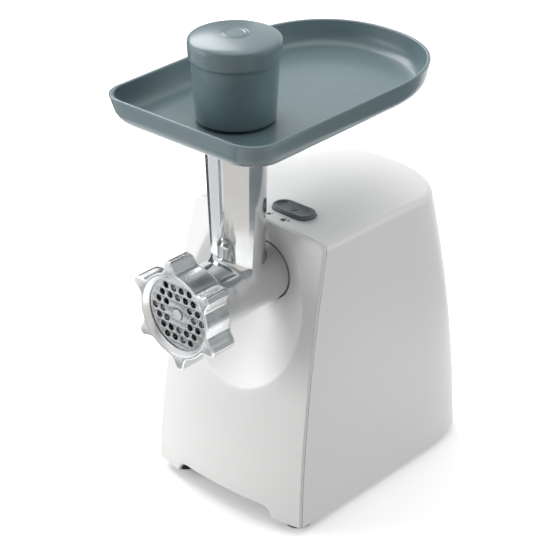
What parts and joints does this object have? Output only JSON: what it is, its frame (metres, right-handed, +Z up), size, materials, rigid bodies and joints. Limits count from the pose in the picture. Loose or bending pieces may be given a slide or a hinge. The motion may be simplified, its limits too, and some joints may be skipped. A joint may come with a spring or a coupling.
{
  "type": "electric meat grinder",
  "caption": "Electric meat grinder: tapered housing with motor and gearbox, twist-lock mincing head with ring nut, loading tray and pusher with cap.",
  "frame": {"origin": "middle of the machine's bounding box, on the surface its feet stand on", "axes": "+Z up, the outlet faces -Y, +X is to the right seen from the outlet side"},
  "size_m": [0.158, 0.2796, 0.3966],
  "materials": {
    "white_plastic": "satin white moulded ABS",
    "grey_plastic": "blue-grey moulded polypropylene",
    "control_grey": "dark grey moulded ABS",
    "polished_aluminium": "polished die-cast aluminium",
    "screw_casting": "tumbled die-cast aluminium",
    "blade_steel": "ground stainless steel",
    "gearbox_casting": "as-cast aluminium",
    "plain_steel": "bright turned steel",
    "lamination": "varnished laminations and pressed can",
    "winding": "enamelled copper winding",
    "bearing_bronze": "sintered bronze and brass",
    "nylon": "natural nylon",
    "black_plastic": "black moulded nylon",
    "carbon": "pressed carbon",
    "board": "circuit board laminate",
    "foot_rubber": "black rubber"
  },
  "bodies": {
    "base": {"main_housing": "white_plastic", "front_cover": "white_plastic", "base_plate": "black_plastic", "foot_front_left": "foot_rubber", "foot_front_right": "foot_rubber", "foot_rear_left": "foot_rubber", "foot_rear_right": "foot_rubber", "base_screw_1": "plain_steel", "base_screw_2": "plain_steel", "base_screw_3": "plain_steel", "base_screw_4": "plain_steel", "gearbox_housing": "gearbox_casting", "gearbox_cover": "gearbox_casting", "output_bearing": "bearing_bronze", "idler_pin": "plain_steel", "outlet_socket": "black_plastic", "stator": "lamination", "field_coil_rear": "winding", "motor_can": "lamination", "front_bearing": "plain_steel", "rear_bearing": "plain_steel", "brush_holder_left": "bearing_bronze", "brush_holder_right": "bearing_bronze", "carbon_brush_left": "carbon", "carbon_brush_right": "carbon", "control_board": "board", "board_bracket": "black_plastic", "cord_gland": "foot_rubber", "switch_body": "black_plastic", "reverse_switch_body": "black_plastic", "button_guide": "black_plastic", "lever_bracket": "black_plastic", "lever_pin": "plain_steel", "button_spring": "plain_steel"},
    "rotor": {"armature": "winding", "motor_shaft": "plain_steel", "motor_pinion": "plain_steel", "commutator": "winding", "cooling_fan": "black_plastic"},
    "reduction": {"reduction_gear": "nylon"},
    "auger": {"output_gear": "nylon", "output_shaft": "plain_steel", "feed_screw": "screw_casting", "knife": "blade_steel"},
    "head": {"mincer_head": "polished_aluminium", "hole_plate": "blade_steel"},
    "nut": {"ring_nut": "polished_aluminium"},
    "tray": {"tray": "grey_plastic"},
    "pusher": {"pusher": "grey_plastic"},
    "cap": {"pusher_cap": "grey_plastic"},
    "button": {"release_button": "control_grey"},
    "lever": {"release_lever": "plain_steel"},
    "rocker": {"power_rocker": "control_grey"},
    "reverse": {"reverse_button": "control_grey"}
  },
  "joints": [
    {"name": "rotor_spin", "type": "hinge", "parent": "base", "child": "rotor", "pos_m": [0, 0.06076, 0.1183], "axis": [0, 1, 0], "continuous": true},
    {"name": "reduction_spin", "type": "hinge", "parent": "base", "child": "reduction", "pos_m": [0, 0.00076, 0.1543], "axis": [0, 1, 0], "continuous": true},
    {"name": "auger_spin", "type": "hinge", "parent": "base", "child": "auger", "pos_m": [0, -0.06924, 0.1918], "axis": [0, 1, 0], "continuous": true},
    {"name": "head_twist", "type": "hinge", "parent": "base", "child": "head", "pos_m": [0, -0.06924, 0.1918], "axis": [0, 1, 0], "range_deg": [0, 30]},
    {"name": "nut_turn", "type": "hinge", "parent": "head", "child": "nut", "pos_m": [0, -0.12724, 0.1918], "axis": [0, -1, 0], "range_deg": [0, 120]},
    {"name": "tray_lift", "type": "slide", "parent": "head", "child": "tray", "axis": [0, 0, 1], "range_m": [0, 0.03]},
    {"name": "pusher_slide", "type": "slide", "parent": "tray", "child": "pusher", "axis": [0, 0, 1], "range_m": [0, 0.1]},
    {"name": "cap_lift", "type": "slide", "parent": "pusher", "child": "cap", "axis": [0, 0, 1], "range_m": [0, 0.02]},
    {"name": "button_press", "type": "slide", "parent": "base", "child": "button", "axis": [0, 0, -1], "range_m": [0, 0.0025], "stiffness_N_per_m": 800, "springref_m": -0.004, "deforming": ["button_spring"]},
    {"name": "lever_tilt", "type": "hinge", "parent": "base", "child": "lever", "pos_m": [0.014, -0.02524, 0.2278], "axis": [0, 1, 0], "range_deg": [0, 13.5]},
    {"name": "rocker_tilt", "type": "hinge", "parent": "base", "child": "rocker", "pos_m": [-0.06637, 0.02276, 0.1565], "axis": [0, -1, 0], "range_deg": [0, 16]},
    {"name": "reverse_press", "type": "slide", "parent": "base", "child": "reverse", "axis": [1, 0, 0], "range_m": [0, 0.0025], "stiffness_N_per_m": 600, "springref_m": -0.002}
  ],
  "couplings": [
    {"joint": "reduction_spin", "follows": "rotor_spin", "ratio": -0.16667},
    {"joint": "auger_spin", "follows": "rotor_spin", "ratio": 0.033333},
    {"joint": "lever_tilt", "follows": "button_press", "rad_per_m": 94}
  ]
}
